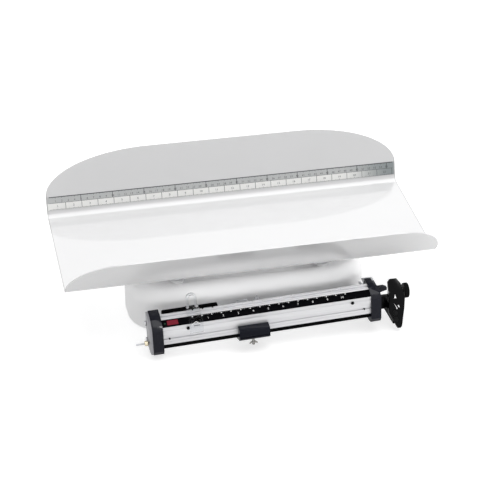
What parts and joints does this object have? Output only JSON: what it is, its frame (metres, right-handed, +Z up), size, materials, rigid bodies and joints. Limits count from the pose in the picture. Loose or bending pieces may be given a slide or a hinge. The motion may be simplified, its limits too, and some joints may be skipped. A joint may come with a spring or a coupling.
{
  "type": "mechanical baby scale",
  "caption": "Mechanical baby scale: a folded sheet tray on a lever base, weighed by a front beam with sliding poises, a zero nut, a pointer and a beam lock.",
  "frame": {"origin": "on the floor under the middle of the scale's outer box", "axes": "+X to the right along the beam, +Y from the beam to the tray's back, +Z up"},
  "size_m": [0.569, 0.3074, 0.2064],
  "materials": {
    "tray_paint": "satin",
    "ruler_foil": "satin print on a light strip",
    "base_white": "gloss",
    "rubber": "matte",
    "zinc_steel": "satin",
    "knife_steel": "ground",
    "screws": "satin",
    "dark_screws": "black finish",
    "beam_alloy": "bright drawn",
    "scale_black": "gloss",
    "strip_black": "satin",
    "cap_black": "satin",
    "side_grey": "satin",
    "poise_black": "gloss",
    "clear": "clear",
    "index_black": "satin",
    "nickel": "bright",
    "brass": "bright",
    "knob_black": "satin, knurled",
    "shaft_steel": "bright"
  },
  "bodies": {
    "base": {"base_cover": "base_white", "base_plate": "zinc_steel", "base_screws": "screws", "feet": "rubber", "foot_screws": "screws", "long_lever_stands": "zinc_steel", "short_lever_stands": "zinc_steel", "beam_stand": "zinc_steel", "stand_screws": "screws", "stop_screws": "screws", "index_arm": "index_black", "arm_screws": "screws", "arm_nuts": "screws", "index_bracket": "index_black", "bracket_screws": "dark_screws", "lock_collar": "nickel"},
    "platform": {"tray": "tray_paint", "ruler_strip": "ruler_foil", "tray_rails": "zinc_steel", "tray_pads": "rubber", "tray_studs": "zinc_steel", "tray_nuts": "screws", "load_frame": "zinc_steel", "tray_posts": "zinc_steel", "post_collars": "base_white", "rail_screws": "screws", "load_bearings": "zinc_steel"},
    "long_lever": {"long_lever": "zinc_steel", "long_lever_knives": "knife_steel"},
    "short_lever": {"short_lever": "zinc_steel", "short_lever_knives": "knife_steel"},
    "link": {"load_link": "zinc_steel"},
    "beam": {"beam_rail": "beam_alloy", "scale_plate": "scale_black", "bottom_strip": "strip_black", "beam_yoke": "zinc_steel", "beam_knives": "knife_steel", "left_cap": "cap_black", "left_side_plate": "side_grey", "right_cap": "cap_black", "cap_screws": "screws", "end_clip": "zinc_steel", "clip_screw": "screws", "front_screws": "dark_screws", "poise_pins": "dark_screws", "zero_stud": "zinc_steel", "pointer": "cap_black"},
    "zero_nut": {"zero_nut": "brass"},
    "main_poise": {"poise_bar": "poise_black", "poise_cursor": "clear", "cursor_screws": "screws"},
    "tare_poise": {"tare_block": "poise_black"},
    "tare_screw": {"tare_screw": "nickel"},
    "lock": {"lock_shaft": "shaft_steel", "lock_knob": "knob_black"}
  },
  "joints": [
    {"name": "beam_swing", "type": "hinge", "parent": "base", "child": "beam", "pos_m": [0, -0.095, 0.05], "axis": [0, 1, 0], "range_deg": [0, 3.8]},
    {"name": "link_rise", "type": "slide", "parent": "base", "child": "link", "axis": [0, 0, 1], "range_m": [0, 0.0016]},
    {"name": "long_lever_swing", "type": "hinge", "parent": "base", "child": "long_lever", "pos_m": [0, 0.05, 0.024], "axis": [-1, 0, 0], "range_deg": [0, 0.645]},
    {"name": "short_lever_swing", "type": "hinge", "parent": "base", "child": "short_lever", "pos_m": [0, -0.062, 0.024], "axis": [1, 0, 0], "range_deg": [0, 0.645]},
    {"name": "platform_rise", "type": "slide", "parent": "base", "child": "platform", "axis": [0, 0, 1], "range_m": [0, 0.000203]},
    {"name": "main_poise_slide", "type": "slide", "parent": "beam", "child": "main_poise", "axis": [0.9995, 0, 0.0332], "range_m": [0, 0.225]},
    {"name": "tare_poise_slide", "type": "slide", "parent": "beam", "child": "tare_poise", "axis": [0.9995, 0, 0.0332], "range_m": [-0.1, 0.146]},
    {"name": "tare_screw_turn", "type": "hinge", "parent": "tare_poise", "child": "tare_screw", "pos_m": [-0.01873, -0.147, 0.01136], "axis": [-0.0332, 0, 0.9995], "range_deg": [0, 180]},
    {"name": "zero_nut_travel", "type": "slide", "parent": "beam", "child": "zero_nut", "axis": [-0.9995, 0, -0.0332], "range_m": [0, 0.011]},
    {"name": "lock_turn", "type": "hinge", "parent": "base", "child": "lock", "pos_m": [0.222, -0.113, 0.0503], "axis": [1, 0, 0], "range_deg": [0, 90]}
  ],
  "couplings": [
    {"joint": "link_rise", "follows": "beam_swing", "m_per_rad": 0.024},
    {"joint": "long_lever_swing", "follows": "beam_swing", "ratio": 0.16901},
    {"joint": "short_lever_swing", "follows": "beam_swing", "ratio": 0.16901},
    {"joint": "platform_rise", "follows": "beam_swing", "m_per_rad": 0.0030423}
  ]
}
